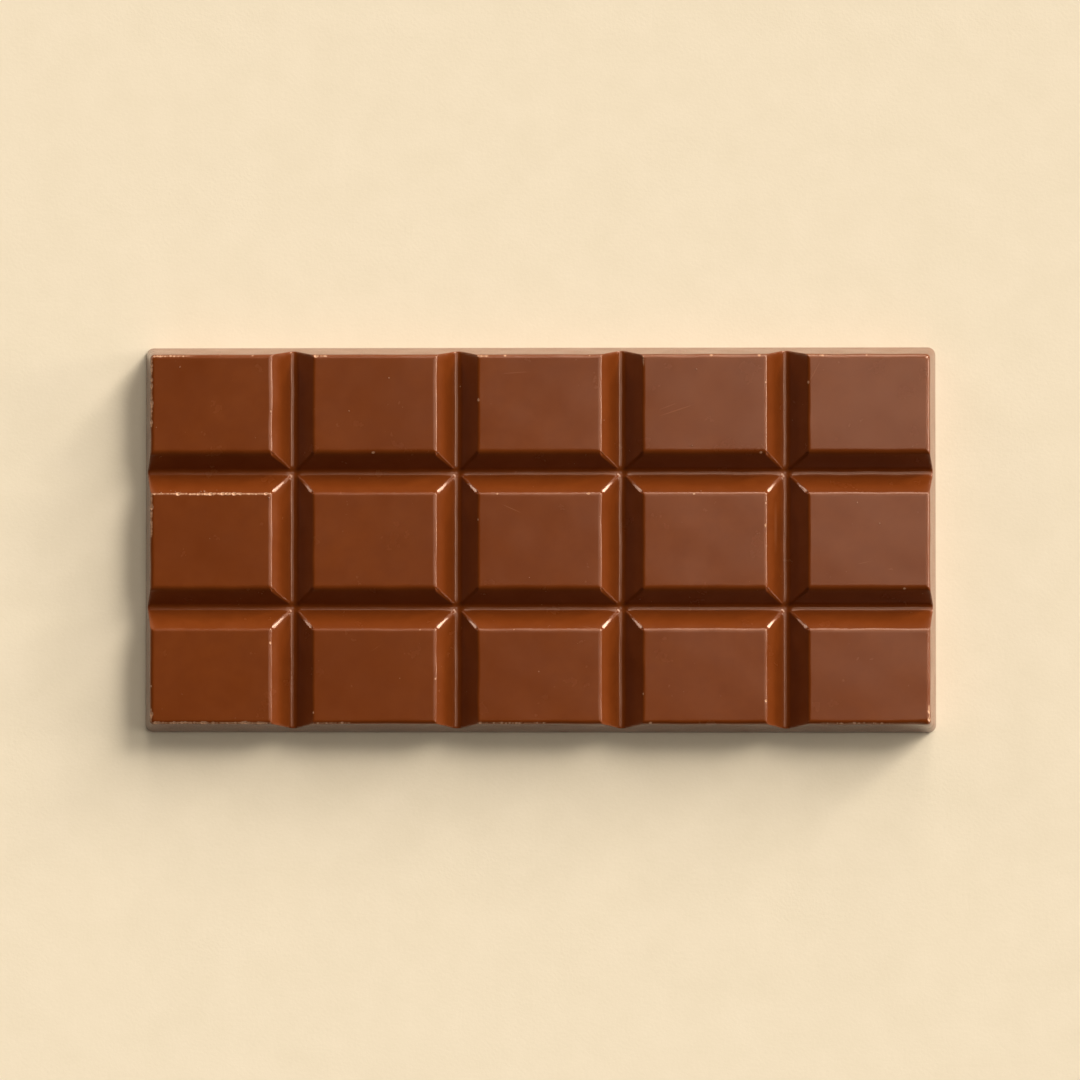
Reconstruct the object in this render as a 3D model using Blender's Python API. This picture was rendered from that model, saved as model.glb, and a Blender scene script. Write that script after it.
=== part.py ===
"""Milk chocolate tablet of five columns and three rows of blocks, moulded in one piece.

Metres, +Z up. The origin is the middle of the flat back, which the tablet lies on. X runs
along its length and Y across it.

Everything but the back is one grid. Its lines follow the grooves and the outer sides, and both
use the same heights, so that every mitre between two walls, and every edge where a groove runs
out through a side, is a diagonal of the grid. Where a block's near edge borders a groove it
is rounder than its other top edges, and that wall is the steeper of the groove's two.
"""

import math
from collections import namedtuple

import bmesh
import bpy

MM = 0.001

# Driving dimensions
COLUMNS = 5
ROWS = 3
LENGTH = 154.0 * MM
WIDTH = 75.0 * MM
HEIGHT = 8.6 * MM
COLUMN_PITCH = 31.8 * MM
ROW_PITCH = 26.2 * MM
GROOVE_HALF_WIDTH = 4.1 * MM
NEAR_WALL_SHARE = 1.05
FAR_WALL_SHARE = 0.85
GROOVE_SLOPE = math.radians(50.0)
SIDE_DRAFT = math.radians(13.5)
RIM_RADIUS = 1.0 * MM
EDGE_RADIUS = 0.8 * MM
NEAR_EDGE_RADIUS = 2.0 * MM
VALLEY_RADIUS = 1.1 * MM
FOOT_RADIUS = 0.4 * MM
FOOT_CORNER_RADIUS = 1.6 * MM
TOP_CORNER_RADIUS = 0.7 * MM

ARC_STEPS = 4
FOOT_STEPS = 2
LEVEL_TOLERANCE = 0.0005 * MM
FLAT_TOLERANCE = math.radians(0.2)
SHARP_ANGLE = math.radians(30.0)

# Milk chocolate as it leaves a polished mould, with a satin gloss
CHOCOLATE_COLOUR = (0.162, 0.040, 0.0105, 1.0)
CHOCOLATE_ROUGHNESS = 0.36

# Worked out from the dimensions above. The foot's rounding is set in from the sharp foot that
# the sides would have, and FOOT_SPARE brings its widest line back to the full length and width.
SIDE_SLOPE = math.pi / 2 - SIDE_DRAFT
VALLEY_HEIGHT = (
    HEIGHT
    - GROOVE_HALF_WIDTH * math.tan(GROOVE_SLOPE)
    + VALLEY_RADIUS * (1 / math.cos(GROOVE_SLOPE) - 1)
)
FOOT_SPARE = FOOT_RADIUS / math.tan(SIDE_SLOPE / 2) - FOOT_RADIUS

# One line of the grid: its place across the tablet, the height of the profile there, and on
# an outer side how far it is set back in the grid from the full outline, otherwise None
Line = namedtuple("Line", "place height setback")


def clear_scene():
    for obj in list(bpy.data.objects):
        bpy.data.objects.remove(obj, do_unlink=True)


def arc_drop(radius, slope):
    """How far an arc has fallen from its crown, or risen from its bottom, at this slope."""
    return radius * (1 - math.cos(slope))


def arc_slope(radius, drop):
    """The slope at which an arc has fallen this far from its crown."""
    return math.acos(min(1.0, max(-1.0, 1 - drop / radius)))


def spread(first, last, steps):
    """Evenly spaced numbers from first to last, both included."""
    return [first + (last - first) * step / steps for step in range(steps + 1)]


def foot_heights():
    """Heights of the points on the side's foot: round from the back and up onto the wall."""
    turns = spread(-math.pi / 2, 0.0, FOOT_STEPS) + [SIDE_DRAFT]
    return [FOOT_RADIUS * (1 + math.sin(turn)) for turn in turns]


def groove_heights():
    """Heights, rising, of the points on a groove's wall: the round valley, the stretch of flat
    wall that lies beside the steep part of the side's rounding, and the rounding's upper part,
    which takes in the groove's own round top edge."""
    slopes = spread(0.0, GROOVE_SLOPE, ARC_STEPS)
    valley = [VALLEY_HEIGHT + arc_drop(VALLEY_RADIUS, slope) for slope in slopes]
    steep = [SIDE_SLOPE, (SIDE_SLOPE + GROOVE_SLOPE) / 2]
    return valley + [HEIGHT - arc_drop(RIM_RADIUS, slope) for slope in steep + slopes[::-1]]


def groove_offset(height, edge_radius):
    """Distance from a groove's middle line to its wall at this height, on the side where the
    block's top edge has this radius."""
    rise, fall = height - VALLEY_HEIGHT, HEIGHT - height
    if rise <= arc_drop(VALLEY_RADIUS, GROOVE_SLOPE):
        return VALLEY_RADIUS * math.sin(arc_slope(VALLEY_RADIUS, rise))
    if fall >= arc_drop(edge_radius, GROOVE_SLOPE):
        return GROOVE_HALF_WIDTH - fall / math.tan(GROOVE_SLOPE)
    crown = GROOVE_HALF_WIDTH + edge_radius * math.tan(GROOVE_SLOPE / 2)
    return crown - edge_radius * math.sin(arc_slope(edge_radius, fall))


def side_inset(height):
    """How far the outer side is set in, at this height, from the tablet's full outline."""
    fall = HEIGHT - height
    if height < FOOT_RADIUS * (1 + math.sin(SIDE_DRAFT)):
        turn = math.asin(max(-1.0, height / FOOT_RADIUS - 1))
        return FOOT_RADIUS * (1 - math.cos(turn))
    if fall >= arc_drop(RIM_RADIUS, SIDE_SLOPE):
        return height * math.tan(SIDE_DRAFT) - FOOT_SPARE
    crown = HEIGHT * math.tan(SIDE_DRAFT) + RIM_RADIUS * math.tan(SIDE_SLOPE / 2)
    return crown - FOOT_SPARE - RIM_RADIUS * math.sin(arc_slope(RIM_RADIUS, fall))


def side_lines(size):
    """The outer side's lines, from the back to the block tops, evenly spaced in the grid until
    each moves out to the side's true place."""
    heights = foot_heights() + groove_heights()
    setbacks = spread(0.0, side_inset(HEIGHT), len(heights) - 1)
    return [Line(size / 2 - setback, z, setback) for setback, z in zip(setbacks, heights)]


def grid_lines(size, blocks, pitch, low_edge_radius=EDGE_RADIUS, wall_shares=(1.0, 1.0)):
    """Lines of points across the tablet, from its low side to its high side. Between grooves
    the top edge on a block's low side has its own radius, and the groove's two walls, first
    the one below its middle line, each take their own share of the half width."""
    side = side_lines(size)
    lines = [Line(-line.place, line.height, line.setback) for line in side]
    heights = groove_heights()
    for number in range(1, blocks):
        middle = (number - blocks / 2) * pitch
        for z in heights[:0:-1]:
            below = wall_shares[0] * groove_offset(z, EDGE_RADIUS)
            lines.append(Line(middle - below, z, None))
        for z in heights:
            above = wall_shares[1] * groove_offset(z, low_edge_radius)
            lines.append(Line(middle + above, z, None))
    return lines + side[::-1]


def rounded(x, y, half_length, half_width, radius):
    """Moves a point of a rectangle's outline onto the same outline with round corners."""
    past_x = abs(x) - (half_length - radius)
    past_y = abs(y) - (half_width - radius)
    if past_x <= 0 or past_y <= 0:
        return x, y
    shrink = max(past_x, past_y) / math.hypot(past_x, past_y)
    return (
        math.copysign(half_length - radius + past_x * shrink, x),
        math.copysign(half_width - radius + past_y * shrink, y),
    )


def crossing(column, row):
    """Where two lines cross, in plan. A crossing on an outer side lies on the outline of the
    lower of its side lines, and moves out from its place in the grid to that outline."""
    x, y = column.place, row.place
    side = [line for line in (column, row) if line.setback is not None]
    if not side:
        return x, y
    outline = min(side, key=lambda line: line.height)
    inset = side_inset(outline.height)
    if column in side:
        x = math.copysign(abs(x) + outline.setback - inset, x)
    if row in side:
        y = math.copysign(abs(y) + outline.setback - inset, y)
    share = outline.height / HEIGHT
    radius = FOOT_CORNER_RADIUS * (1 - share) + TOP_CORNER_RADIUS * share
    return rounded(x, y, LENGTH / 2 - inset, WIDTH / 2 - inset, radius)


def moulded_face(bm):
    """The grid of the moulded face and the sides. A point is as high as the lower of the two
    profiles that cross there, one along the tablet and one across it."""
    columns = grid_lines(LENGTH, COLUMNS, COLUMN_PITCH)
    wall_shares = (NEAR_WALL_SHARE, FAR_WALL_SHARE)
    rows = grid_lines(WIDTH, ROWS, ROW_PITCH, NEAR_EDGE_RADIUS, wall_shares)
    spans_x, spans_y = len(columns) - 1, len(rows) - 1
    half = 0.5
    bmesh.ops.create_grid(bm, x_segments=spans_x, y_segments=spans_y, size=half)
    for vert in bm.verts:
        column = columns[round((vert.co.x + half) * spans_x)]
        row = rows[round((vert.co.y + half) * spans_y)]
        x, y = crossing(column, row)
        vert.co = (x, y, min(column.height, row.height))


def fold_mitres(bm):
    """Splits each quad that a mitre crosses: one corner is higher than the other three, and
    the fold runs from it to the opposite corner."""
    for face in list(bm.faces):
        low, _, _, high = sorted(face.verts, key=lambda vert: vert.co.z)
        level = [v for v in face.verts if v.co.z - low.co.z < LEVEL_TOLERANCE]
        if len(level) != 3:
            continue
        corners = list(face.verts)
        opposite = corners[(corners.index(high) + 2) % 4]
        bmesh.utils.face_split(face, high, opposite)


def flat_back(bm):
    """Closes the grid with the flat back, one face inside the lowest line of the sides."""
    border = [edge for edge in bm.edges if edge.is_boundary]
    bmesh.ops.contextual_create(bm, geom=border)
    bmesh.ops.recalc_face_normals(bm, faces=bm.faces)


def merge_flats(bm):
    """Makes one face of each flat stretch: block tops, groove walls, sides and back."""
    bmesh.ops.dissolve_limit(
        bm, angle_limit=FLAT_TOLERANCE, verts=bm.verts, edges=bm.edges
    )


def chocolate_material():
    material = bpy.data.materials.new("milk_chocolate")
    material.use_nodes = True
    shader = material.node_tree.nodes["Principled BSDF"]
    shader.inputs["Base Color"].default_value = CHOCOLATE_COLOUR
    shader.inputs["Roughness"].default_value = CHOCOLATE_ROUGHNESS
    shader.inputs["Metallic"].default_value = 0.0
    material.diffuse_color = CHOCOLATE_COLOUR
    return material


def make_tablet(collection):
    mesh = bpy.data.meshes.new("chocolate_bar")
    bm = bmesh.new()
    moulded_face(bm)
    fold_mitres(bm)
    flat_back(bm)
    merge_flats(bm)
    bm.to_mesh(mesh)
    bm.free()
    mesh.materials.append(chocolate_material())
    tablet = bpy.data.objects.new("chocolate_bar", mesh)
    collection.objects.link(tablet)
    mesh.shade_smooth()
    mesh.set_sharp_from_angle(angle=SHARP_ANGLE)
    return tablet


def main():
    clear_scene()
    collection = bpy.data.collections.new("chocolate_bar")
    bpy.context.scene.collection.children.link(collection)
    make_tablet(collection)


main()
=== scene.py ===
"""Milk chocolate tablet: the moulded surface, its worn edges, crumbs, finish and studio.

Lengths are millimetres in the tablet's own frame until a mesh is written in metres. X runs
along the tablet, Y across it towards the far side, and Z up from the flat back.
"""

import math

import bpy
import numpy as np
from mathutils import Matrix, Vector


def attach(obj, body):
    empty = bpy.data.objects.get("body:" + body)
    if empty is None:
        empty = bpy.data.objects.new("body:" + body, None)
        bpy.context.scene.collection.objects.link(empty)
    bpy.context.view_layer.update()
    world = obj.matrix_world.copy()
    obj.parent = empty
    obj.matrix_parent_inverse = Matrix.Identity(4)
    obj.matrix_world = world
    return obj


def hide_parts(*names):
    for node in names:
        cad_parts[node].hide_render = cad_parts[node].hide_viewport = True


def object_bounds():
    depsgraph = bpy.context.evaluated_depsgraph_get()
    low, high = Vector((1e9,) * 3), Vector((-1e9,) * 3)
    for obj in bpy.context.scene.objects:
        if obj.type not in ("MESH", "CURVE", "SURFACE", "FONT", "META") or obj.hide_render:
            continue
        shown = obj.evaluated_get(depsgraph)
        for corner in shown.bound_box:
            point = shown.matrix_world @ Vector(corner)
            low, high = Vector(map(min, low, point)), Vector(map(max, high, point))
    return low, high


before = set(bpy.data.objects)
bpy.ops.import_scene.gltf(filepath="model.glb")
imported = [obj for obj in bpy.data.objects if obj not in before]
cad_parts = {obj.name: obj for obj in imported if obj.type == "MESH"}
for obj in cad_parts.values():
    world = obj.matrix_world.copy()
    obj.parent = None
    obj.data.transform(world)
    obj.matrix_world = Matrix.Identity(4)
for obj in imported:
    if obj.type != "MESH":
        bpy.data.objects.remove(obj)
CAD_LOW, CAD_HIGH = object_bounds()

# Sizes

MM = 0.001
LENGTH, WIDTH, HEIGHT = (size / MM for size in CAD_HIGH - CAD_LOW)
COLUMNS = 5
ROWS = 3
COLUMN_PITCH = 31.8
ROW_PITCH = 26.2
GROOVE_HALF_WIDTH = 4.1
NEAR_WALL_SHARE = 1.05
FAR_WALL_SHARE = 0.85
GROOVE_SLOPE = math.radians(50.0)
SIDE_DRAFT = math.radians(13.5)
SIDE_SLOPE = math.pi / 2 - SIDE_DRAFT
RIM_RADIUS = 1.0
EDGE_RADIUS = 0.8
NEAR_EDGE_RADIUS = 2.0
VALLEY_RADIUS = 1.1
FOOT_RADIUS = 0.4
FOOT_CORNER_RADIUS = 1.6
TOP_CORNER_RADIUS = 0.7
VALLEY_HEIGHT = (
    HEIGHT
    - GROOVE_HALF_WIDTH * math.tan(GROOVE_SLOPE)
    + VALLEY_RADIUS * (1 / math.cos(GROOVE_SLOPE) - 1)
)
FOOT_SPARE = FOOT_RADIUS / math.tan(SIDE_SLOPE / 2) - FOOT_RADIUS
SIDE_REACH = HEIGHT * math.tan(SIDE_DRAFT) + RIM_RADIUS * math.tan(SIDE_SLOPE / 2) - FOOT_SPARE

# Spans between the lines of the surface. The back has every third line, so a wall, a side and
# a block's top each have a multiple of three. A top's own outermost lines lie TOP_MARGIN inside
# it, so that smooth shading doesn't run from its round edge far onto the flat.
VALLEY_SPANS = 5
WALL_SPANS = 2
STEEP_SPANS = 3
CROWN_SPANS = 5
FOOT_SPANS = 4
LOWER_SIDE_SPANS = 5
TOP_SPANS_X = 18
TOP_SPANS_Y = 15
TOP_MARGIN = 0.15
BACK_STEP = 3

# Where the surface is made finer. At most FINER_ROUNDS times, edges are halved that are longer
# than SEAM_SPACING within SEAM_REACH of a seam between two walls, or than CHIP_SPACING within
# CHIP_MARGIN of a chip. Past those the longest edge allowed grows by a share of the distance,
# and a chip counts no further than CHIP_SURROUNDINGS. Tops, within a tolerance, have no seam.
FINER_ROUNDS = 3
SEAM_SPACING = 0.19
SEAM_REACH = 0.25
SEAM_GROWTH = 1.3
CHIP_SPACING = 0.11
CHIP_MARGIN = 0.1
CHIP_GROWTH = 0.8
CHIP_SURROUNDINGS = 0.9
TOP_TOLERANCE = 0.01

# A block's slanting corner is cut flat by HIP_CUT in height. The cut starts over HIP_START below
# the top, loses HIP_TAPER of its size on the way down to the valleys, and ends over the stretch
# HIP_END above them. At the rim the walls melt together over RIM_BLEND. Where two valleys cross,
# their crease is rounded over CROSSING_BLEND, which fades out over CROSSING_HEIGHT.
HIP_CUT = 0.34
HIP_TAPER = 0.75
HIP_SHOULDER = 0.05
HIP_START = 0.3
HIP_END = (0.35, 0.9)
RIM_BLEND = 0.35
CROSSING_BLEND = 0.7
CROSSING_HEIGHT = 1.0

# What keeps a division from being by nothing
TINY = 1e-9
LEAST_REACH = 1e-6
LEAST_FADE = 1e-3

# Unevenness of a moulded tablet that has been handled: how far it goes sideways and down, the
# lengths of its waves and their spread, and the heights over which it dies out to the foot
WAVER = 0.035
WAVER_LENGTH = 9.0
DISHING = 0.014
DISHING_LENGTH = 11.0
WAVE_SPREAD = (0.6, 1.6)
FADE_HEIGHTS = (0.3, 3.0)

# The poured back: the height and length of its ripples, the margin over which they rise, and
# how far its first line lies inside the foot's
BACK_RIPPLE = 0.16
BACK_RIPPLE_LENGTH = 16.0
BACK_RIPPLE_MARGIN = 4.0
BACK_LIP = 0.9

# Worn stretches of the blocks' top edges: column from the left, row from the far side, the
# edge, its start and end as shares of the edge (from the far or the left end), chips for each
# millimetre, and how deep the deepest of them go
WORN_EDGES = [
    (1, 1, "left", 0.0, 0.72, 2.4, 0.13),
    (1, 1, "far", 0.0, 0.35, 1.6, 0.08),
    (1, 2, "left", 0.0, 0.45, 2.2, 0.13),
    (1, 2, "far", 0.0, 1.0, 2.4, 0.1),
    (1, 3, "left", 0.85, 1.0, 3.0, 0.14),
    (1, 3, "near", 0.0, 1.0, 2.6, 0.13),
    (2, 1, "far", 0.0, 0.1, 2.5, 0.1),
    (2, 3, "near", 0.0, 0.3, 1.0, 0.07),
    (3, 1, "far", 0.0, 0.08, 2.5, 0.1),
    (3, 3, "near", 0.0, 0.55, 1.2, 0.08),
    (4, 1, "left", 0.0, 0.1, 2.0, 0.08),
    (5, 1, "far", 0.0, 0.15, 1.2, 0.06),
    (5, 3, "near", 0.1, 0.95, 0.7, 0.06),
    (5, 3, "right", 0.8, 1.0, 2.2, 0.12),
]
STRAY_NICKS = 34

# Larger bites out of the worn edges: column, row, edge, share of the edge, radius and depth
BITES = [
    (1, 2, "far", 0.23, 0.46, 0.24),
    (1, 2, "far", 0.5, 0.4, 0.22),
    (1, 2, "far", 0.635, 0.3, 0.17),
    (1, 2, "far", 0.695, 0.42, 0.24),
    (1, 2, "far", 0.746, 0.3, 0.16),
    (1, 1, "left", 0.1, 0.4, 0.17),
    (1, 1, "left", 0.3, 0.34, 0.14),
    (1, 1, "left", 0.52, 0.36, 0.15),
    (1, 2, "left", 0.12, 0.4, 0.15),
    (1, 2, "left", 0.3, 0.34, 0.14),
    (1, 3, "near", 0.2, 0.4, 0.15),
    (1, 3, "near", 0.46, 0.34, 0.14),
    (1, 3, "near", 0.8, 0.4, 0.15),
    (1, 3, "near", 0.9, 0.34, 0.14),
    (2, 1, "far", 0.02, 0.48, 0.19),
    (5, 3, "right", 0.95, 0.48, 0.19),
]

# A chip is a ball's bite: its radius for each unit of depth, the least of that, how far it
# lies off the edge at random, its least depth as a share of the deepest, and the power that
# makes shallow ones commoner. A stray nick has these shares of an edge and these depths.
CHIP_SEED = 21
CHIP_RADIUS_PER_DEPTH = (1.6, 5.0)
CHIP_LEAST_RADIUS = 0.12
CHIP_SCATTER = 0.05
CHIP_LEAST_DEPTH = 0.2
CHIP_POWER = 2.5
NICK_SHARES = (0.02, 0.98)
NICK_DEPTHS = (0.02, 0.07)

# Paleness round a chip, and along the crest of a worn edge, where it is partly wear from rubbing
# and partly a painted highlight line: how wide it is, the chips in a millimetre at which it is
# full, its mean and its variation along the edge, and the length of its waves
CHIP_PALE_RIM = 0.07
RUB_WIDTH = 0.13
RUB_FULL_DENSITY = 2.5
RUB_MEAN = 0.75
RUB_VARIATION = 0.4
RUB_WAVES = 0.9

# Crumbs left on the tablet: how many for each chip of a worn edge and how many strays, their
# sizes, how far they fall from a chip, how far from the rim they stay, how high the middle of
# one lies as a share of its size, and how much it is squeezed and its corners are pushed
CRUMB_SEED = 57
CRUMBS_PER_CHIP = 0.6
STRAY_CRUMBS = 55
CRUMB_SIZES = (0.05, 0.18)
CRUMB_SCATTER = 0.5
CRUMB_RIM_GAP = 0.2
CRUMB_LIFT = 0.45
CRUMB_SQUEEZE = (0.5, 1.0)
CRUMB_PUSH = (0.8, 1.2)

# Above this height an outer side is clear of its round foot
SIDE_ABOVE_FOOT = 1.0

# Scratches and rubbed streaks in millimetres: the middle, the length, the width, the turn in
# degrees from the tablet's length, and how strongly each one shows
SCRATCHES = [
    (26.7, 24.9, 7.4, 0.28, 18.4, 1.0),
    (24.9, 25.6, 4.2, 0.2, 21.0, 0.6),
    (-4.6, 32.1, 7.0, 0.24, 4.0, 0.6),
    (52.9, 32.0, 5.5, 0.26, 62.0, 0.7),
    (-5.3, 5.9, 5.6, 0.22, -24.0, 0.7),
    (-31.5, -21.0, 4.4, 0.2, 33.0, 0.4),
    (-64.0, 9.0, 3.4, 0.2, -38.0, 0.5),
    (62.5, -4.5, 4.0, 0.18, 12.0, 0.4),
    (9.5, -17.0, 5.0, 0.2, -8.0, 0.35),
]
STREAKS = [(45.6, 2.3, 11.5, 0.85, 90.0, 1.0)]

# Softboxes: azimuth, elevation and width in degrees, and strength
LAMP_COLOUR = "#FFF3E2"
SOFTBOXES = [
    ("softbox_key", 45, 33, 30, 1.9),
    ("softbox_key_top", 40, 42, 20, 0.7),
    ("softbox_strip_low", 44, 14, 12, 1.3),
    ("softbox_right", 6, 14, 14, 0.85),
    ("softbox_right_high", 6, 50, 14, 0.34),
    ("softbox_far_low", 84, 12, 14, 0.52),
    ("softbox_far", 84, 32, 18, 0.38),
    ("softbox_far_high", 84, 52, 18, 0.3),
    ("softbox_left_low", 137, 13, 10, 0.34),
    ("softbox_overhead", 38.7, 75.6, 24, 0.33),
]
HORIZON_COLOUR = "#9A9184"
HORIZON_HEIGHT = 0.12
ROOM_COLOUR = "#0D0B09"


# Surface of the tablet


def side_inset(height):
    """Distance of the outer side from the full outline. A round foot, then a wall drawn in by
    the draft for each millimetre of height, then the top edge's arc."""
    turn = np.arcsin(np.clip(height / FOOT_RADIUS - 1, -1, 1))
    foot = FOOT_RADIUS * (1 - np.cos(turn))
    wall = height * math.tan(SIDE_DRAFT) - FOOT_SPARE
    slope = np.arccos(np.clip(1 - (HEIGHT - height) / RIM_RADIUS, -1, 1))
    crown = SIDE_REACH - RIM_RADIUS * np.sin(slope)
    inset = np.where(height < FOOT_RADIUS * (1 + math.sin(SIDE_DRAFT)), foot, wall)
    return np.where(slope < SIDE_SLOPE, crown, inset)


def groove_offset(height, edge_radius):
    """Distance of a groove's wall from its middle line: the valley's arc, a straight slope,
    then the arc of the block's top edge."""
    valley_slope = np.arccos(np.clip(1 - (height - VALLEY_HEIGHT) / VALLEY_RADIUS, -1, 1))
    crown_slope = np.arccos(np.clip(1 - (HEIGHT - height) / edge_radius, -1, 1))
    wall = GROOVE_HALF_WIDTH - (HEIGHT - height) / math.tan(GROOVE_SLOPE)
    crown_end = GROOVE_HALF_WIDTH + edge_radius * math.tan(GROOVE_SLOPE / 2)
    crown = crown_end - edge_radius * np.sin(crown_slope)
    offset = np.where(valley_slope < GROOVE_SLOPE, VALLEY_RADIUS * np.sin(valley_slope), wall)
    return np.where(crown_slope < GROOVE_SLOPE, crown, offset)


def wall_heights():
    """Heights of the lines on a groove's wall, from valley to top: even steps of slope round
    both arcs and round the steeper arc of the outer side, and even steps of height between."""
    valley = VALLEY_HEIGHT + VALLEY_RADIUS * (
        1 - np.cos(np.linspace(0, GROOVE_SLOPE, VALLEY_SPANS + 1))
    )
    steep = HEIGHT - RIM_RADIUS * (
        1 - np.cos(np.linspace(SIDE_SLOPE, GROOVE_SLOPE, STEEP_SPANS + 1))
    )
    crown = HEIGHT - RIM_RADIUS * (1 - np.cos(np.linspace(GROOVE_SLOPE, 0, CROWN_SPANS + 1)))
    wall = np.linspace(valley[-1], steep[0], WALL_SPANS + 1)
    return np.concatenate([valley[:-1], wall[:-1], steep[:-1], crown])


def side_heights():
    """Heights of the lines on an outer side: round the foot in even turns, up the lower side in
    even steps, and then the same heights as a groove's wall."""
    turns = np.append(np.linspace(-math.pi / 2, 0, FOOT_SPANS), SIDE_DRAFT)
    foot = FOOT_RADIUS * (1 + np.sin(turns))
    lower = np.linspace(foot[-1], VALLEY_HEIGHT, LOWER_SIDE_SPANS + 1)
    return np.concatenate([foot[:-1], lower[:-1], wall_heights()])


def lines_across(size, blocks, pitch, top_spans, low_edge_radius=EDGE_RADIUS, shares=(1, 1)):
    """Place, height and setback of each line across the tablet. The setback counts evenly from
    the full outline to the block tops, and is full on every other line. Between grooves the
    top edge on a block's low side has its own radius, and each of a groove's two walls takes
    its own share of the half width."""
    wall, side = wall_heights(), side_heights()
    setback = np.linspace(0, SIDE_REACH, len(side))
    places, heights = [setback - size / 2], [side]
    below = shares[0] * groove_offset(wall, EDGE_RADIUS)
    above = shares[1] * groove_offset(wall, low_edge_radius)
    ends = [SIDE_REACH - size / 2]
    for number in range(1, blocks):
        middle = (number - blocks / 2) * pitch
        ends += [middle - below[-1], middle + above[-1]]
    ends.append(size / 2 - SIDE_REACH)
    for block in range(blocks):
        low, high = ends[2 * block] + TOP_MARGIN, ends[2 * block + 1] - TOP_MARGIN
        places.append(np.linspace(low, high, top_spans - 1))
        heights.append(np.full(top_spans - 1, HEIGHT))
        if block < blocks - 1:
            middle = (block + 1 - blocks / 2) * pitch
            places += [middle - below[::-1], middle + above[1:]]
            heights += [wall[::-1], wall[1:]]
    places.append(size / 2 - setback[::-1])
    heights.append(side[::-1])
    place = np.concatenate(places)
    inner = np.full(len(place) - 2 * len(side), SIDE_REACH)
    return place, np.concatenate(heights), np.concatenate([setback, inner, setback[::-1]])


def lines_along_length(top_spans):
    """The lines along the tablet's length, where a groove's two walls are alike."""
    return lines_across(LENGTH, COLUMNS, COLUMN_PITCH, top_spans)


def lines_along_width(top_spans):
    """The lines along its width, where a block's near top edge is rounder beside a groove, and
    the groove's two walls take unequal shares."""
    shares = (NEAR_WALL_SHARE, FAR_WALL_SHARE)
    return lines_across(WIDTH, ROWS, ROW_PITCH, top_spans, NEAR_EDGE_RADIUS, shares)


def soft_lower(first, second, reach):
    """The lower of two heights, with the crease between them rounded over the reach: where they
    differ by less than it, the square of what is left over is taken off."""
    overlap = np.maximum(reach - np.abs(first - second), 0) / reach
    return np.minimum(first, second) - overlap**2 * reach / 4


def cut_lower(first, second, cut, shoulder):
    """The lower of two heights, with the crease between them cut off flat: half of what they
    differ by is taken from the cut, and what is left over is taken off the height. Within a
    shoulder of nothing left over, its square gives a round transition."""
    left = cut - np.abs(first - second) / 2
    rounded = np.clip(left + shoulder, 0, None) ** 2 / (4 * shoulder)
    return np.minimum(first, second) - np.where(left > shoulder, left, rounded)


def smooth_step(value, low, high):
    """From 0 at the low value to 1 at the high one: three times the square of the share of the
    way less twice its cube."""
    share = np.clip((value - low) / (high - low), 0, 1)
    return share * share * (3 - 2 * share)


def slow_waves(points, length, seed, count=6):
    """A smooth field, mostly between -1 and 1: plane sine waves in random directions, with
    wavelengths spread about the given length, over the square root of their number."""
    random = np.random.default_rng(seed)
    total = np.zeros(len(points))
    for _ in range(count):
        direction = random.normal(size=points.shape[1])
        direction /= np.linalg.norm(direction)
        wavelength = length * random.uniform(*WAVE_SPREAD)
        start = random.uniform(0, 6.3)
        total += np.sin(points @ direction * 2 * math.pi / wavelength + start)
    return total / math.sqrt(count)


def round_corner(x, y, half_x, half_y, radius):
    """Draws the square corner of an outline in to an arc: past the arc's centre, a point keeps
    its direction from that centre, and its distance becomes the larger of its two parts."""
    past_x = np.abs(x) - (half_x - radius)
    past_y = np.abs(y) - (half_y - radius)
    inside = (past_x > 0) & (past_y > 0)
    shrink = np.maximum(past_x, past_y) / np.maximum(np.hypot(past_x, past_y), TINY)
    round_x = np.sign(x) * (half_x - radius + past_x * shrink)
    round_y = np.sign(y) * (half_y - radius + past_y * shrink)
    return np.where(inside, round_x, x), np.where(inside, round_y, y)


def on_outline(place, setback, ring, inset, half):
    """Moves a side line from its even setback to where it lies on the outline of its ring: the
    ring's own inset plus its share of what is left up to the block tops."""
    beside = (setback < SIDE_REACH) & (ring < SIDE_REACH)
    left = np.maximum(SIDE_REACH - ring, TINY)
    depth = inset + (setback - ring) * (SIDE_REACH - inset) / left
    return np.where(beside, np.sign(place) * (half - depth), place)


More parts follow.
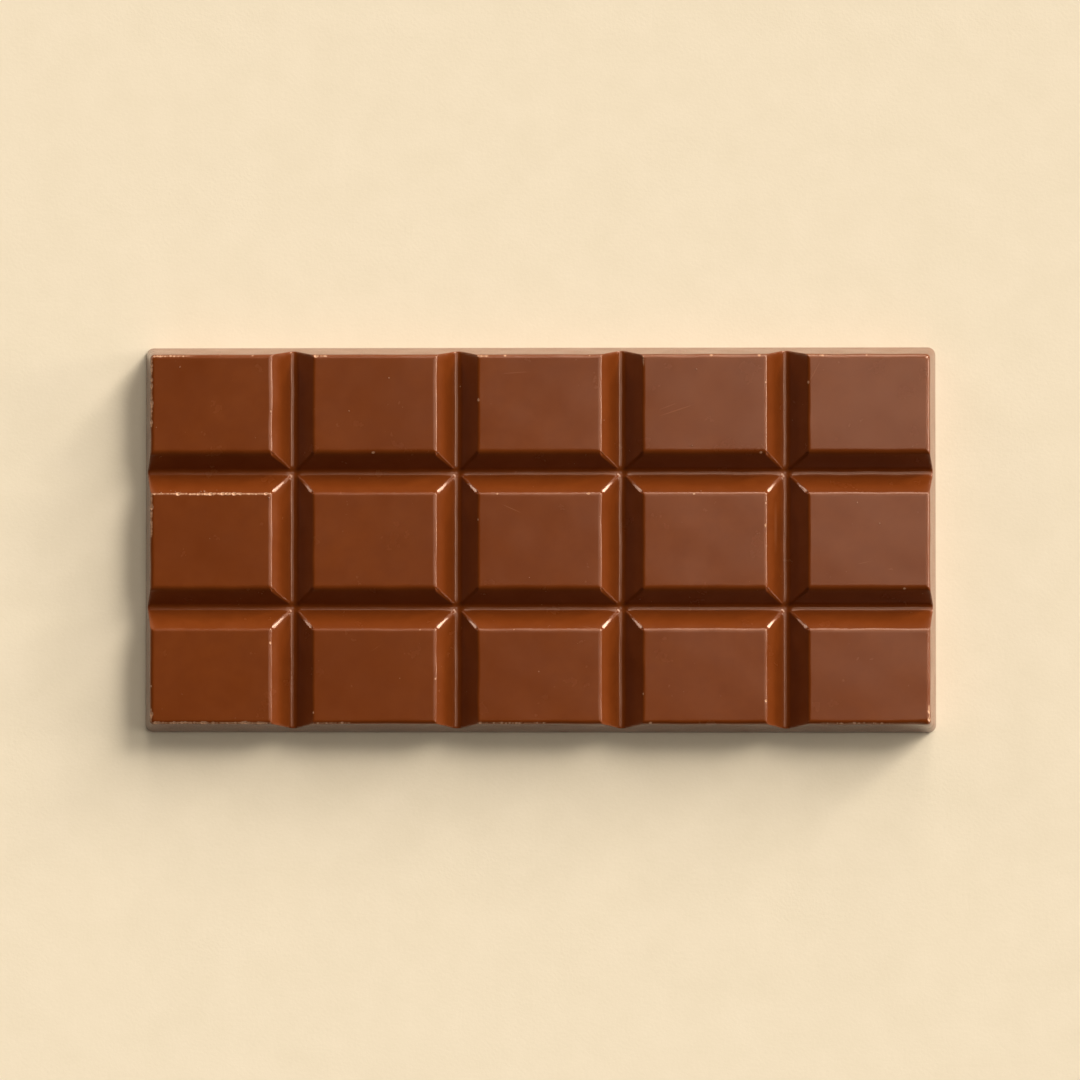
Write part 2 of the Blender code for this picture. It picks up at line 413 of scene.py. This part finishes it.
def moulded_surface(lines_x, lines_y, u, v):
    """Points of the moulded face and sides, and how far each lies from a seam between two walls.
    They follow from two line numbers, along and across the tablet, which may lie between lines.
    A point's height is the lower of the profiles of its two lines, with the seam between them cut
    off flat or softened, and near the rim it lies on the round-cornered outline of the lower."""
    x, high_x, back_x = (np.interp(u, np.arange(len(line)), line) for line in lines_x)
    y, high_y, back_y = (np.interp(v, np.arange(len(line)), line) for line in lines_y)
    ring = np.minimum(back_x, back_y)
    side = side_heights()
    ring_height = np.interp(ring, np.linspace(0, SIDE_REACH, len(side)), side)
    inset = side_inset(ring_height)
    x = on_outline(x, back_x, ring, inset, LENGTH / 2)
    y = on_outline(y, back_y, ring, inset, WIDTH / 2)
    share = ring_height / HEIGHT
    radius = FOOT_CORNER_RADIUS * (1 - share) + TOP_CORNER_RADIUS * share
    x, y = round_corner(x, y, LENGTH / 2 - inset, WIDTH / 2 - inset, radius)

    upper = np.maximum(high_x, high_y)
    side_x, side_y = back_x < SIDE_REACH, back_y < SIDE_REACH
    lower = np.minimum(high_x, high_y)
    fade = smooth_step(HEIGHT - upper, 0, HIP_START) * smooth_step(lower - VALLEY_HEIGHT, *HIP_END)
    fade *= 1 - HIP_TAPER * (HEIGHT - lower) / (HEIGHT - VALLEY_HEIGHT)
    fade = np.maximum(fade, LEAST_FADE)
    hip = cut_lower(high_x, high_y, HIP_CUT * fade, HIP_SHOULDER * fade)
    reach = CROSSING_BLEND * smooth_step(VALLEY_HEIGHT + CROSSING_HEIGHT - lower, 0, CROSSING_HEIGHT)
    hip = np.minimum(hip, soft_lower(high_x, high_y, np.maximum(reach, LEAST_REACH)))
    reach = np.maximum(RIM_BLEND * smooth_step(HEIGHT - upper, 0, RIM_BLEND), LEAST_REACH)
    rim = soft_lower(high_x, high_y, reach)
    z = np.where(side_x | side_y, np.where(side_x & side_y, lower, rim), hip)
    apart = groove_offset(high_x, EDGE_RADIUS) - groove_offset(high_y, EDGE_RADIUS)
    flat = upper > HEIGHT - TOP_TOLERANCE
    plain = flat | (lower < VALLEY_HEIGHT - RIM_BLEND) | (side_x & side_y)
    return np.stack([x, y, z], -1), np.where(plain, np.inf, np.abs(apart) / math.sqrt(2))


def uneven(points):
    """Small unevenness in place: slow waves sideways that die out towards the foot, and a slight
    dishing of the block tops."""
    free = smooth_step(points[:, 2], *FADE_HEIGHTS)
    moved = points.copy()
    moved[:, 0] += free * WAVER * slow_waves(points, WAVER_LENGTH, seed=3)
    moved[:, 1] += free * WAVER * slow_waves(points, WAVER_LENGTH, seed=4)
    moved[:, 2] += free * DISHING * (slow_waves(points, DISHING_LENGTH, seed=5) - 1)
    return moved


def grid_triangles(first, count_x, count_y, heights):
    """Two triangles for each cell of a grid whose points are numbered from first. The cell is
    cut along the diagonal whose ends are higher, which is the one that a ridge follows."""
    number = first + np.arange(count_x * count_y).reshape(count_x, count_y)
    low, right = number[:-1, :-1], number[1:, :-1]
    far, left = number[1:, 1:], number[:-1, 1:]
    z = heights.reshape(count_x, count_y)
    along = (z[:-1, :-1] + z[1:, 1:] >= z[1:, :-1] + z[:-1, 1:])[..., None]
    one = np.where(along, np.stack([low, right, far], -1), np.stack([low, right, left], -1))
    two = np.where(along, np.stack([low, far, left], -1), np.stack([right, far, left], -1))
    return np.concatenate([one.reshape(-1, 3), two.reshape(-1, 3)])


def halve_long_edges(u, v, faces, surface, longest):
    """Puts a point in the middle of each edge that is too long for its place, and splits each
    triangle into two, three or four, by how many of its edges were cut."""
    pairs = np.sort(np.stack([faces, np.roll(faces, -1, axis=1)], -1), -1).reshape(-1, 2)
    edges, which = np.unique(pairs, axis=0, return_inverse=True)
    points, _ = surface(u, v)
    middle_u, middle_v = u[edges].mean(axis=1), v[edges].mean(axis=1)
    length = np.linalg.norm(points[edges[:, 0]] - points[edges[:, 1]], axis=1)
    too_long = length > longest(*surface(middle_u, middle_v))
    new_number = np.where(too_long, len(u) + np.cumsum(too_long) - 1, -1)
    u = np.concatenate([u, middle_u[too_long]])
    v = np.concatenate([v, middle_v[too_long]])

    middles = new_number[which.ravel()].reshape(-1, 3)
    cut = middles >= 0
    count = cut.sum(axis=1)
    turn = np.where(count == 2, (np.argmin(cut, axis=1) + 1) % 3, np.argmax(cut, axis=1))
    order = (turn[:, None] + np.arange(3)) % 3
    a, b, c = np.take_along_axis(faces, order, 1).T
    ab, bc, ca = np.take_along_axis(middles, order, 1).T
    pieces = {
        0: [(a, b, c)],
        1: [(a, ab, c), (ab, b, c)],
        2: [(ab, b, bc), (a, ab, bc), (a, bc, c)],
        3: [(a, ab, ca), (ab, b, bc), (ca, bc, c), (ab, bc, ca)],
    }
    split = [np.stack(corner, -1)[count == k] for k in pieces for corner in pieces[k]]
    return u, v, np.concatenate(split)


def border(numbers):
    """The numbers round a grid's border, once round, starting at its first corner."""
    return np.concatenate([numbers[:-1, 0], numbers[-1, :-1], numbers[:0:-1, -1], numbers[0, :0:-1]])


def lip_triangles(fine, coarse):
    """Joins the foot's line to the back's first line, which has a point for every third one:
    four triangles for each coarse span."""
    fine_next = np.roll(fine, -1)
    near = np.repeat(coarse, BACK_STEP)
    following = np.repeat(np.roll(coarse, -1), BACK_STEP)
    last = np.tile(np.arange(BACK_STEP) == BACK_STEP - 1, len(coarse))
    fans = np.stack([fine, np.where(last, following, near), fine_next], -1)
    closing = np.stack([fine[BACK_STEP - 1 :: BACK_STEP], coarse, np.roll(coarse, -1)], -1)
    return np.concatenate([fans, closing])


def back_grid(foot_x, foot_y):
    """The poured back as a coarser grid inside the foot's line. It set in the open mould, so
    slow ripples lift it by up to a sixth of a millimetre, and nothing of it hangs lower."""
    lip_x, lip_y = 1 - BACK_LIP / foot_x.max(), 1 - BACK_LIP / foot_y.max()
    x, y = np.meshgrid(foot_x[::BACK_STEP] * lip_x, foot_y[::BACK_STEP] * lip_y, indexing="ij")
    x, y = round_corner(x, y, x.max(), y.max(), FOOT_CORNER_RADIUS / 2)
    flat = np.stack([x.ravel(), y.ravel()], -1)
    margin = np.minimum(x.max() - np.abs(x), y.max() - np.abs(y)).ravel()
    inside = smooth_step(margin, 0, BACK_RIPPLE_MARGIN)
    ripple = 0.5 + 0.5 * np.clip(slow_waves(flat, BACK_RIPPLE_LENGTH, seed=8), -1, 1)
    z = BACK_RIPPLE * inside * ripple
    return np.column_stack([flat, z]), x.shape


# Wear


def block_span(number, blocks, pitch, size, shares=(1, 1)):
    """The two sharp ends of a block's top, counted from the low side of the tablet."""
    rim = size / 2 - (HEIGHT * math.tan(SIDE_DRAFT) - FOOT_SPARE)
    low_groove = (number - 1 - blocks / 2) * pitch
    low = low_groove + shares[1] * GROOVE_HALF_WIDTH if number > 1 else -rim
    high = low_groove + pitch - shares[0] * GROOVE_HALF_WIDTH if number < blocks else rim
    return low, high


def block_edge(column, row, edge):
    """One top edge of a block: the ends of its sharp line, the direction that halves the angle
    between the top and the wall, and how far inside the sharp line the rounded edge lies."""
    left, right = block_span(column, COLUMNS, COLUMN_PITCH, LENGTH)
    shares = (NEAR_WALL_SHARE, FAR_WALL_SHARE)
    near, far = block_span(ROWS + 1 - row, ROWS, ROW_PITCH, WIDTH, shares)
    corners = {
        "left": ((left, far), (left, near), (-1, 0), column == 1),
        "right": ((right, far), (right, near), (1, 0), column == COLUMNS),
        "far": ((left, far), (right, far), (0, 1), row == 1),
        "near": ((left, near), (right, near), (0, -1), row == ROWS),
    }
    start, end, outward, outer = corners[edge]
    slope = SIDE_SLOPE if outer else GROOVE_SLOPE
    groove_radius = NEAR_EDGE_RADIUS if edge == "near" else EDGE_RADIUS
    radius = RIM_RADIUS if outer else groove_radius
    lift = np.array([*(math.sin(slope / 2) * np.array(outward)), math.cos(slope / 2)])
    gap = radius * (1 / math.cos(slope / 2) - 1)
    return np.array([*start, HEIGHT]), np.array([*end, HEIGHT]), lift, gap


def draw_chips(random, column, row, edge, shares, depths):
    """Balls that bite into an edge at the given shares of its length. A ball's centre stands off
    the rounded edge by its radius less its depth."""
    start, end, lift, gap = block_edge(column, row, edge)
    widening = random.uniform(*CHIP_RADIUS_PER_DEPTH, len(depths))
    radius = depths * widening + CHIP_LEAST_RADIUS
    middle = start + (end - start) * shares[:, None]
    centre = middle + lift * (radius - depths - gap)[:, None]
    sideways = random.normal(0, CHIP_SCATTER, (len(depths), 3))
    return np.column_stack([centre + sideways, radius])


def all_chips():
    """Chips of the worn stretches, smaller ones far more often than deep ones, and stray nicks
    on edges drawn at random."""
    random = np.random.default_rng(CHIP_SEED)
    chips = []
    for column, row, edge, first, last, density, depth in WORN_EDGES:
        start, end, _, _ = block_edge(column, row, edge)
        count = max(3, round(density * (last - first) * np.linalg.norm(end - start)))
        shares = random.uniform(first, last, count)
        draws = random.uniform(0, 1, count) ** CHIP_POWER
        depths = depth * (CHIP_LEAST_DEPTH + (1 - CHIP_LEAST_DEPTH) * draws)
        chips.append(draw_chips(random, column, row, edge, shares, depths))
    for column, row, edge, share, radius, depth in BITES:
        start, end, lift, gap = block_edge(column, row, edge)
        centre = start + (end - start) * share + lift * (radius - depth - gap)
        chips.append(np.array([[*centre, radius]]))
    for _ in range(STRAY_NICKS):
        column, row = random.integers(1, COLUMNS + 1), random.integers(1, ROWS + 1)
        edge = ("left", "right", "far", "near")[random.integers(4)]
        share, depth = random.uniform(*NICK_SHARES, 1), random.uniform(*NICK_DEPTHS, 1)
        chips.append(draw_chips(random, column, row, edge, share, depth))
    return np.concatenate(chips)


def chip_surface(points, chips):
    """Pushes what lies inside a chip's ball out to its surface, which leaves a small hollow.
    Returns the points and how worn each is, from 0 to 1."""
    points = points.copy()
    worn = np.zeros(len(points))
    for x, y, z, radius in chips:
        centre = np.array([x, y, z])
        close = np.flatnonzero(np.abs(points - centre).max(axis=1) < radius + CHIP_MARGIN)
        arm = points[close] - centre
        distance = np.maximum(np.linalg.norm(arm, axis=1), TINY)
        points[close] = centre + arm * np.maximum(radius / distance, 1)[:, None]
        pale = 1 - smooth_step(distance - radius, 0, CHIP_PALE_RIM)
        worn[close] = np.maximum(worn[close], pale)
    return points, worn


def rub_and_highlight_lines(points):
    """How pale the worn stretches are made along their rounded edge: partly wear from rubbing and
    partly a painted highlight line on the crest. Highest on the rounded edge, falling off with the
    distance from it as a bell curve, and broken up by waves of about a millimetre."""
    total = np.zeros(len(points))
    for column, row, edge, first, last, density, _ in WORN_EDGES:
        start, end, lift, gap = block_edge(column, row, edge)
        start, end = start - lift * gap, end - lift * gap
        along = end - start
        share = np.clip((points - start) @ along / (along @ along), first, last)
        distance = np.linalg.norm(points - start - share[:, None] * along, axis=1)
        strength = min(1.0, density / RUB_FULL_DENSITY)
        total = np.maximum(total, strength * np.exp(-((distance / RUB_WIDTH) ** 2)))
    broken = RUB_MEAN + RUB_VARIATION * slow_waves(points, RUB_WAVES, seed=31, count=9)
    return np.clip(total * broken, 0, 1)


def wanted_spacing(chips):
    """Makes the rule for the longest edge at a place: short at a chip or a seam, and longer with
    the distance from it."""

    def longest(points, seam):
        spacing = SEAM_SPACING + SEAM_GROWTH * np.maximum(seam - SEAM_REACH, 0)
        for x, y, z, radius in chips:
            beyond = np.abs(points - (x, y, z)).max(axis=1) - radius - CHIP_MARGIN
            close = np.flatnonzero(beyond < CHIP_SURROUNDINGS)
            wanted = CHIP_SPACING + CHIP_GROWTH * np.maximum(beyond[close], 0)
            spacing[close] = np.minimum(spacing[close], wanted)
        return spacing

    return longest


# Meshes


def surface_mesh(name, points, faces, smooth=True):
    """A mesh in metres from points in millimetres and triangles."""
    mesh = bpy.data.meshes.new(name)
    mesh.from_pydata((points * MM).tolist(), [], faces.tolist())
    mesh.polygons.foreach_set("use_smooth", np.full(len(faces), smooth))
    mesh.update()
    obj = bpy.data.objects.new(name, mesh)
    bpy.context.scene.collection.objects.link(obj)
    return obj


def store_mask(mesh, name, values):
    """Keeps one number for each point, for a material to read."""
    mesh.attributes.new(name, "FLOAT", "POINT").data.foreach_set("value", values.astype(np.float32))


def make_tablet(chips):
    """One closed skin: the moulded grid, made finer at seams and chips, a lip of triangles
    round its foot, and the back."""
    lines_x, lines_y = lines_along_length(TOP_SPANS_X), lines_along_width(TOP_SPANS_Y)

    def surface(u, v):
        return moulded_surface(lines_x, lines_y, u, v)

    count_x, count_y = len(lines_x[0]), len(lines_y[0])
    u, v = (grid.ravel() for grid in np.mgrid[0.0:count_x, 0.0:count_y])
    grid, _ = surface(u, v)
    faces = grid_triangles(0, count_x, count_y, grid[:, 2])
    longest = wanted_spacing(chips)
    for _ in range(FINER_ROUNDS):
        u, v, faces = halve_long_edges(u, v, faces, surface, longest)
    face, _ = surface(u, v)
    rub_and_highlight = rub_and_highlight_lines(face)
    face, chipped = chip_surface(face, chips)
    face = uneven(face)

    grid = grid.reshape(count_x, count_y, 3)
    back, (back_x, back_y) = back_grid(grid[:, 0, 0], grid[0, :, 1])
    numbers = np.arange(count_x * count_y).reshape(count_x, count_y)
    back_numbers = len(face) + np.arange(len(back)).reshape(back_x, back_y)
    back_faces = grid_triangles(len(face), back_x, back_y, back[:, 2])[:, ::-1]
    lip_faces = lip_triangles(border(numbers), border(back_numbers))
    tablet = surface_mesh(
        "tablet", np.concatenate([face, back]), np.concatenate([faces, back_faces, lip_faces])
    )
    # The worn mask is the chips' pale broken surface and the pale line along worn edges, which is
    # partly a painted highlight
    worn = np.maximum(rub_and_highlight, chipped)
    store_mask(tablet.data, "worn", np.concatenate([worn, np.zeros(len(back))]))
    store_mask(tablet.data, "poured", np.concatenate([np.zeros(len(face)), np.ones(len(back))]))
    return tablet


# Crumbs


def height_at(x, y):
    """Height of the tablet under a place away from its rim: the lower of its two profiles."""
    heights = []
    for place, size, lines in (
        (x, LENGTH, lines_along_length(3)),
        (y, WIDTH, lines_along_width(3)),
    ):
        line, height, setback = lines
        beside = setback < SIDE_REACH
        line = np.where(beside, np.sign(line) * (size / 2 - side_inset(height)), line)
        above = height > SIDE_ABOVE_FOOT
        heights.append(np.interp(place, line[above], height[above]))
    return np.minimum(*heights)


def icosahedron():
    """Corners and faces of a regular twenty-sided lump of radius one. Three corners make a face
    where all are neighbours, which are 1.05 apart."""
    golden = (1 + math.sqrt(5)) / 2
    ends = [(a, b) for a in (-1, 1) for b in (-golden, golden)]
    corners = [(0, a, b) for a, b in ends]
    corners += [(a, b, 0) for a, b in ends] + [(b, 0, a) for a, b in ends]
    corners = np.array(corners, float) / math.hypot(1, golden)
    edge = np.linalg.norm(corners[:, None] - corners[None], axis=2)
    near = (edge > 0.1) & (edge < 1.1)
    faces = []
    for a in range(12):
        for b in range(a + 1, 12):
            for c in range(b + 1, 12):
                if near[a, b] and near[b, c] and near[a, c]:
                    outward = np.cross(corners[b] - corners[a], corners[c] - corners[a]) @ corners[a]
                    faces.append((a, b, c) if outward > 0 else (a, c, b))
    return corners, np.array(faces)


def make_crumbs(chips):
    """Broken crumbs as one joined mesh, small ones far more often than large. Each is a
    twenty-sided lump, turned at random, squeezed by up to a half along each of its axes, with
    its corners pushed in and out by a fifth. It is let down by what the tops are dished."""
    random = np.random.default_rng(CRUMB_SEED)
    worn_count = len(chips) - STRAY_NICKS
    chosen = chips[random.integers(0, worn_count, round(CRUMBS_PER_CHIP * worn_count))]
    fallen = chosen[:, :2] + random.normal(0, CRUMB_SCATTER, (len(chosen), 2))
    inner = np.array([LENGTH, WIDTH]) / 2 - SIDE_REACH - CRUMB_RIM_GAP
    strays = random.uniform(-inner, inner, (STRAY_CRUMBS, 2))
    place = np.concatenate([fallen[(np.abs(fallen) < inner).all(axis=1)], strays])
    size = CRUMB_SIZES[0] + (CRUMB_SIZES[1] - CRUMB_SIZES[0]) * random.uniform(0, 1, len(place)) ** 3
    height = height_at(*place.T) + CRUMB_LIFT * size - 2 * DISHING
    centre = np.column_stack([place, height])

    corners, faces = icosahedron()
    turn, _ = np.linalg.qr(random.normal(size=(len(place), 3, 3)))
    turn *= np.sign(np.linalg.det(turn))[:, None, None]
    squeeze = random.uniform(*CRUMB_SQUEEZE, (len(place), 1, 3))
    push = random.uniform(*CRUMB_PUSH, (len(place), len(corners), 1))
    lumps = (corners * squeeze * push) @ turn * size[:, None, None]
    points = (lumps + centre[:, None]).reshape(-1, 3)
    first = len(corners) * np.arange(len(place))
    numbers = (faces[None] + first[:, None, None]).reshape(-1, 3)
    return surface_mesh("crumbs", points, numbers, smooth=False)


# Materials


def linear(hex_colour):
    """An sRGB hex colour as linear red, green, blue and alpha."""
    parts = [int(hex_colour[i : i + 2], 16) / 255 for i in (1, 3, 5)]
    return [c / 12.92 if c <= 0.04045 else ((c + 0.055) / 1.055) ** 2.4 for c in parts] + [1.0]


def per_mm(size):
    """The scale that gives a pattern features of this many millimetres on coordinates in metres."""
    return 1 / (size * MM)


def add_node(tree, kind, links=(), **settings):
    """Adds a node, sets its properties and sockets by name, and links sockets to outputs."""
    node = tree.nodes.new(kind)
    for name, value in settings.items():
        if hasattr(node, name):
            setattr(node, name, value)
        else:
            node.inputs[name.replace("_", " ")].default_value = value
    for socket, output in dict(links).items():
        tree.links.new(output, node.inputs[socket])
    return node


def new_material(name):
    """A new material, its node tree, its shader, and places in metres on the piece."""
    material = bpy.data.materials.new(name)
    material.use_nodes = True
    tree = material.node_tree
    place = add_node(tree, "ShaderNodeTexCoord").outputs["Object"]
    return material, tree, tree.nodes["Principled BSDF"], place


def noise(tree, place, size, detail=2.0, roughness=0.5):
    """Cloudy noise from 0 to 1 with features of the given size in millimetres."""
    node = add_node(
        tree,
        "ShaderNodeTexNoise",
        {"Vector": place},
        Scale=per_mm(size),
        Detail=detail,
        Roughness=roughness,
    )
    return node.outputs["Fac"]


def remap(tree, value, low, high, to_low=0.0, to_high=1.0):
    """Stretches a value from one range to another, and stops at its ends."""
    node = add_node(
        tree,
        "ShaderNodeMapRange",
        {"Value": value},
        From_Min=low,
        From_Max=high,
        To_Min=to_low,
        To_Max=to_high,
    )
    return node.outputs["Result"]


def combine(tree, operation, first, second):
    """One sum of two values, either of which may be a plain number."""
    node = add_node(tree, "ShaderNodeMath", operation=operation)
    for socket, value in zip(node.inputs, (first, second)):
        if isinstance(value, (int, float)):
            socket.default_value = value
        else:
            tree.links.new(value, socket)
    return node.outputs["Value"]


def tinted(tree, share, first, second):
    """Mixes two colours, each a hex colour or an output, by a share from 0 to 1."""
    node = add_node(tree, "ShaderNodeMixRGB", {"Fac": share})
    for name, colour in (("Color1", first), ("Color2", second)):
        if isinstance(colour, str):
            node.inputs[name].default_value = linear(colour)
        else:
            tree.links.new(colour, node.inputs[name])
    return node.outputs["Color"]


def marks(tree, place, scratches):
    """Long thin ellipses, brightest in the middle, at their places on the tablet."""
    total = 0.0
    for x, y, length, width, turn, strength in scratches:
        mapped = add_node(
            tree,
            "ShaderNodeMapping",
            {"Vector": place},
            vector_type="TEXTURE",
            Location=(x * MM, y * MM, 0),
            Rotation=(0, 0, math.radians(turn)),
            Scale=(length / 2 * MM, width / 2 * MM, 1),
        )
        ellipse = add_node(
            tree,
            "ShaderNodeTexGradient",
            {"Vector": mapped.outputs["Vector"]},
            gradient_type="SPHERICAL",
        )
        shown = combine(tree, "MULTIPLY", ellipse.outputs["Fac"], strength)
        total = combine(tree, "MAXIMUM", shown, total)
    return total


def specks(tree, place, spacing, radius, share):
    """Round specks: one in each cell of a scattered pattern, of which only a share is kept. A
    speck fades from half its radius out."""
    cells = add_node(tree, "ShaderNodeTexVoronoi", {"Vector": place}, Scale=per_mm(spacing))
    dot = remap(tree, cells.outputs["Distance"], radius / spacing, 0.5 * radius / spacing)
    draw = add_node(tree, "ShaderNodeSeparateColor", {"Color": cells.outputs["Color"]})
    kept = combine(tree, "LESS_THAN", draw.outputs["Red"], share)
    return combine(tree, "MULTIPLY", dot, kept)


def bump(tree, height, depth, below=None):
    """Raises the surface by a height from 0 to 1, times a depth in millimetres."""
    links = {"Height": height}
    if below is not None:
        links["Normal"] = below
    return add_node(tree, "ShaderNodeBump", links, Strength=1.0, Distance=depth * MM).outputs["Normal"]


def moulded_chocolate():
    """Milk chocolate cast in a polished mould and tempered. Fine cocoa butter crystals make the
    skin satin, with a thin glossier film on top that handling leaves; where an edge is chipped or
    worn by rubbing the paler, matt inside is seen, and along worn edges the pale line is partly a
    painted highlight. Cocoa particles just under the skin tint its gloss."""
    material, tree, shader, place = new_material("milk_chocolate_moulded")
    worn = add_node(tree, "ShaderNodeAttribute", attribute_name="worn").outputs["Fac"]
    poured = add_node(tree, "ShaderNodeAttribute", attribute_name="poured").outputs["Fac"]
    scratch = marks(tree, place, SCRATCHES)
    streak = marks(tree, place, STREAKS)
    pale = specks(tree, place, 5.0, 0.14, 0.3)

    cloud = noise(tree, place, 14.0, detail=3.0)
    colour = tinted(tree, remap(tree, cloud, 0.3, 0.7), "#6D3310", "#743813")
    colour = tinted(tree, remap(tree, noise(tree, place, 2.4), 0.35, 0.75, 0.0, 0.5), colour, "#682F0D")
    colour = tinted(tree, combine(tree, "MULTIPLY", poured, 0.5), colour, "#7A3F1E")
    colour = tinted(tree, combine(tree, "MULTIPLY", streak, 0.3), colour, "#9C6240")
    colour = tinted(tree, combine(tree, "MULTIPLY", scratch, 0.3), colour, "#A56E4C")
    colour = tinted(tree, combine(tree, "MULTIPLY", pale, 0.5), colour, "#B98A66")
    # Paler crumbly colour where worn: broken chocolate at chips, and along worn edges partly a painted
    # highlight line
    crumbly = noise(tree, place, 0.35, detail=3.0, roughness=0.7)
    pale_wear_and_highlight = combine(tree, "MULTIPLY", worn, remap(tree, crumbly, 0.3, 0.6, 0.35, 1.0))
    colour = tinted(tree, pale_wear_and_highlight, colour, "#CFA486")
    tree.links.new(colour, shader.inputs["Base Color"])

    smear = remap(tree, noise(tree, place, 5.0, detail=4.0, roughness=0.6), 0.3, 0.7, 0.22, 0.28)
    dull = combine(tree, "MAXIMUM", poured, combine(tree, "MULTIPLY", worn, 0.3))
    rough = combine(tree, "ADD", smear, combine(tree, "MULTIPLY", dull, 0.42))
    rough = combine(tree, "ADD", rough, combine(tree, "MULTIPLY", scratch, 0.12))
    tree.links.new(rough, shader.inputs["Roughness"])
    tree.links.new(remap(tree, dull, 0.0, 0.6, 0.42, 0.0), shader.inputs["Coat Weight"])

    fine = bump(tree, noise(tree, place, 0.5, detail=3.0, roughness=0.6), 0.004)
    waves = bump(tree, noise(tree, place, 6.0, detail=1.0), 0.05, fine)
    pits = combine(tree, "MULTIPLY", specks(tree, place, 3.1, 0.16, 0.35), poured)
    open_pits = bump(tree, combine(tree, "SUBTRACT", 1.0, pits), 0.12, waves)
    coarse = combine(tree, "MAXIMUM", poured, worn)
    grainy = bump(tree, combine(tree, "MULTIPLY", crumbly, coarse), 0.05, open_pits)
    tree.links.new(grainy, shader.inputs["Normal"])

    shader.inputs["IOR"].default_value = 1.5
    shader.inputs["Specular Tint"].default_value = linear("#FFD0B4")
    shader.inputs["Coat Roughness"].default_value = 0.18
    shader.inputs["Coat IOR"].default_value = 1.5
    return material


def broken_chocolate():
    """The inside of milk chocolate where it has broken: paler than the moulded skin, matt and
    grainy, because its crystals scatter the light."""
    material, tree, shader, place = new_material("milk_chocolate_broken")
    grain = noise(tree, place, 0.2, detail=3.0, roughness=0.7)
    colour = tinted(tree, remap(tree, grain, 0.3, 0.7), "#8A5A3C", "#BF967A")
    tree.links.new(colour, shader.inputs["Base Color"])
    tree.links.new(remap(tree, grain, 0.3, 0.7, 0.7, 0.85), shader.inputs["Roughness"])
    tree.links.new(bump(tree, grain, 0.02), shader.inputs["Normal"])
    shader.inputs["IOR"].default_value = 1.48
    return material


def cream_paper():
    """Heavy uncoated paper: matt, with cloudy fibres and a faint tooth."""
    material, tree, shader, place = new_material("cream_paper_backdrop")
    fibres = noise(tree, place, 9.0, detail=5.0, roughness=0.65)
    colour = tinted(tree, remap(tree, fibres, 0.3, 0.7), "#EFE6D2", "#F3EAD7")
    tree.links.new(colour, shader.inputs["Base Color"])
    tooth = noise(tree, place, 0.6, detail=2.0)
    tree.links.new(bump(tree, tooth, 0.02), shader.inputs["Normal"])
    shader.inputs["Roughness"].default_value = 0.92
    shader.inputs["IOR"].default_value = 1.45
    return material


# Studio


def pale_floor():
    """A wide pale sheet under the tablet."""
    half = 4.0
    mesh = bpy.data.meshes.new("floor")
    corners = [(-half, -half, 0), (half, -half, 0), (half, half, 0), (-half, half, 0)]
    mesh.from_pydata(corners, [], [(0, 1, 2, 3)])
    floor = bpy.data.objects.new("floor", mesh)
    bpy.context.scene.collection.objects.link(floor)
    mesh.materials.append(cream_paper())
    return floor


def aim(obj, target):
    """Turns a lamp to shine towards a target."""
    obj.rotation_mode = "QUATERNION"
    obj.rotation_quaternion = (Vector(target) - obj.location).to_track_quat("-Z", "Y")


def add_softbox(name, azimuth, elevation, width, strength):
    """A far round softbox: a sun lamp as wide, in degrees, as the softbox looks from the tablet.
    The azimuth counts from the tablet's length towards its far side."""
    lamp = bpy.data.lights.new(name, "SUN")
    lamp.energy = strength
    lamp.angle = math.radians(width)
    lamp.color = linear(LAMP_COLOUR)[:3]
    obj = bpy.data.objects.new(name, lamp)
    bpy.context.scene.collection.objects.link(obj)
    across, up = math.radians(azimuth), math.radians(elevation)
    obj.location = (
        math.cos(up) * math.cos(across),
        math.cos(up) * math.sin(across),
        math.sin(up),
    )
    aim(obj, (0, 0, 0))
    return obj


def studio():
    """Soft light from softboxes on the right, the far right and the far side, with a low one
    far left and one overhead, and a faint world that is pale only close to the horizon."""
    for softbox in SOFTBOXES:
        add_softbox(*softbox)
    world = bpy.data.worlds.new("studio")
    world.use_nodes = True
    tree = world.node_tree
    way = add_node(tree, "ShaderNodeTexCoord").outputs["Generated"]
    up = add_node(tree, "ShaderNodeSeparateXYZ", {"Vector": way}).outputs["Z"]
    colour = tinted(tree, remap(tree, up, 0.0, HORIZON_HEIGHT), HORIZON_COLOUR, ROOM_COLOUR)
    tree.links.new(colour, tree.nodes["Background"].inputs["Color"])
    bpy.context.scene.world = world


def photo_camera():
    """A long lens straight above, a little to the right and in front of the tablet's middle."""
    camera = bpy.data.cameras.new("camera")
    camera.sensor_width = 36.0
    camera.lens = 111.1
    camera.clip_start, camera.clip_end = 0.05, 20.0
    obj = bpy.data.objects.new("camera", camera)
    bpy.context.scene.collection.objects.link(obj)
    obj.location = Vector((11.5, -11.5, 650.0)) * MM
    back = obj.location.normalized()
    right = Vector((0, 1, 0)).cross(back).normalized()
    obj.rotation_euler = Matrix((right, back.cross(right), back)).transposed().to_euler()
    bpy.context.scene.camera = obj


def ride_on_tablet(piece, material):
    """Gives a piece its material and the tablet's body."""
    piece.data.materials.append(material)
    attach(piece, "root")


def main():
    chips = all_chips()
    tablet = make_tablet(chips)
    ride_on_tablet(tablet, moulded_chocolate())
    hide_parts("chocolate_bar")
    ride_on_tablet(make_crumbs(chips), broken_chocolate())
    pale_floor()
    studio()
    photo_camera()
    bpy.context.scene.view_settings.view_transform = "Standard"


main()
